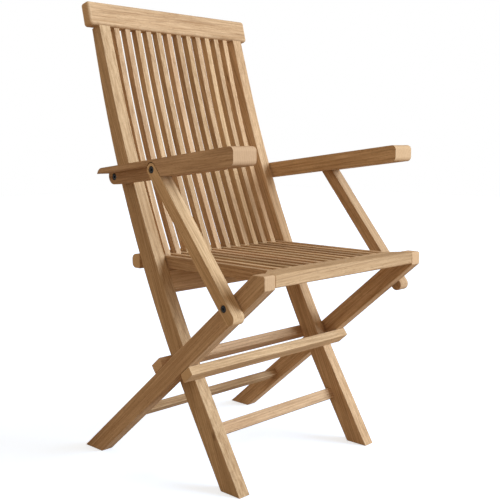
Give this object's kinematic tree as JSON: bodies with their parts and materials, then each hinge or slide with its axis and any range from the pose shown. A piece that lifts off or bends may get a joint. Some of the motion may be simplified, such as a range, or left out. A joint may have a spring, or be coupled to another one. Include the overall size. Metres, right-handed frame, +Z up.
{
  "type": "folding armchair",
  "caption": "Folding slatted wooden armchair: crossed frames, curved slatted back, and a seat and arms that fold with the legs.",
  "frame": {"origin": "on the floor, under the middle of the open chair's box", "axes": "+Z up; the chair faces -Y; +X is on the sitter's left"},
  "size_m": [0.545, 0.5486, 0.9692],
  "materials": {
    "teak_frame": "oiled satin",
    "teak_slats": "oiled satin",
    "teak_arms": "oiled satin",
    "steel": "satin"
  },
  "bodies": {
    "back_frame": {"stile_right": "teak_frame", "stile_left": "teak_frame", "top_rail": "teak_frame", "back_slat_01": "teak_slats", "back_slat_02": "teak_slats", "back_slat_03": "teak_slats", "back_slat_04": "teak_slats", "back_slat_05": "teak_slats", "back_slat_06": "teak_slats", "back_slat_07": "teak_slats", "back_slat_08": "teak_slats", "back_slat_09": "teak_slats", "back_slat_10": "teak_slats", "back_slat_11": "teak_slats", "back_slat_12": "teak_slats", "lower_back_rail": "teak_frame", "front_stop_rail": "teak_frame", "front_stretcher": "teak_frame", "crossing_pins": "steel", "crossing_washers": "steel", "arm_bolts": "steel", "arm_washers": "steel"},
    "leg_frame": {"rear_leg_right": "teak_frame", "rear_leg_left": "teak_frame", "rear_stop_rail": "teak_frame", "rear_stretcher": "teak_frame", "seat_pins": "steel"},
    "seat": {"seat_front_rail": "teak_frame", "seat_rear_rail": "teak_frame", "seat_strip_01": "teak_slats", "seat_strip_02": "teak_slats", "seat_strip_03": "teak_slats", "seat_strip_04": "teak_slats", "seat_strip_05": "teak_slats", "seat_strip_06": "teak_slats", "seat_strip_07": "teak_slats", "seat_strip_08": "teak_slats", "seat_strip_09": "teak_slats", "seat_strip_10": "teak_slats", "seat_strip_11": "teak_slats", "seat_strip_12": "teak_slats", "seat_strip_13": "teak_slats"},
    "arm_right": {"arm_right": "teak_arms", "support_top_bolt_right": "steel", "support_top_washer_right": "steel"},
    "support_right": {"arm_support_right": "teak_arms", "support_foot_bolt_right": "steel", "support_foot_washer_right": "steel"},
    "arm_left": {"arm_left": "teak_arms", "support_top_bolt_left": "steel", "support_top_washer_left": "steel"},
    "support_left": {"arm_support_left": "teak_arms", "support_foot_bolt_left": "steel", "support_foot_washer_left": "steel"}
  },
  "joints": [
    {"name": "fold", "type": "hinge", "parent": "back_frame", "child": "leg_frame", "pos_m": [0, -0.02113, 0.22479], "axis": [-1, 0, 0], "range_deg": [0, 62]},
    {"name": "seat_turn", "type": "hinge", "parent": "leg_frame", "child": "seat", "pos_m": [0, -0.26065, 0.4278], "axis": [1, 0, 0], "range_deg": [0, 114.4]},
    {"name": "arm_lift_right", "type": "hinge", "parent": "back_frame", "child": "arm_right", "pos_m": [-0.228, 0.15226, 0.60151], "axis": [-1, 0, 0], "range_deg": [0, 70.11]},
    {"name": "support_swing_right", "type": "hinge", "parent": "arm_right", "child": "support_right", "pos_m": [-0.258, -0.0043, 0.62022], "axis": [1, 0, 0], "range_deg": [0, 92.79]},
    {"name": "arm_lift_left", "type": "hinge", "parent": "back_frame", "child": "arm_left", "pos_m": [0.228, 0.15226, 0.60151], "axis": [-1, 0, 0], "range_deg": [0, 70.11]},
    {"name": "support_swing_left", "type": "hinge", "parent": "arm_left", "child": "support_left", "pos_m": [0.258, -0.0043, 0.62022], "axis": [1, 0, 0], "range_deg": [0, 92.79]}
  ],
  "couplings": [
    {"joint": "seat_turn", "follows": "fold", "ratio": 1.845},
    {"joint": "arm_lift_right", "follows": "fold", "ratio": 1.1306},
    {"joint": "support_swing_right", "follows": "fold", "ratio": 1.4965},
    {"joint": "arm_lift_left", "follows": "fold", "ratio": 1.1306},
    {"joint": "support_swing_left", "follows": "fold", "ratio": 1.4965}
  ]
}
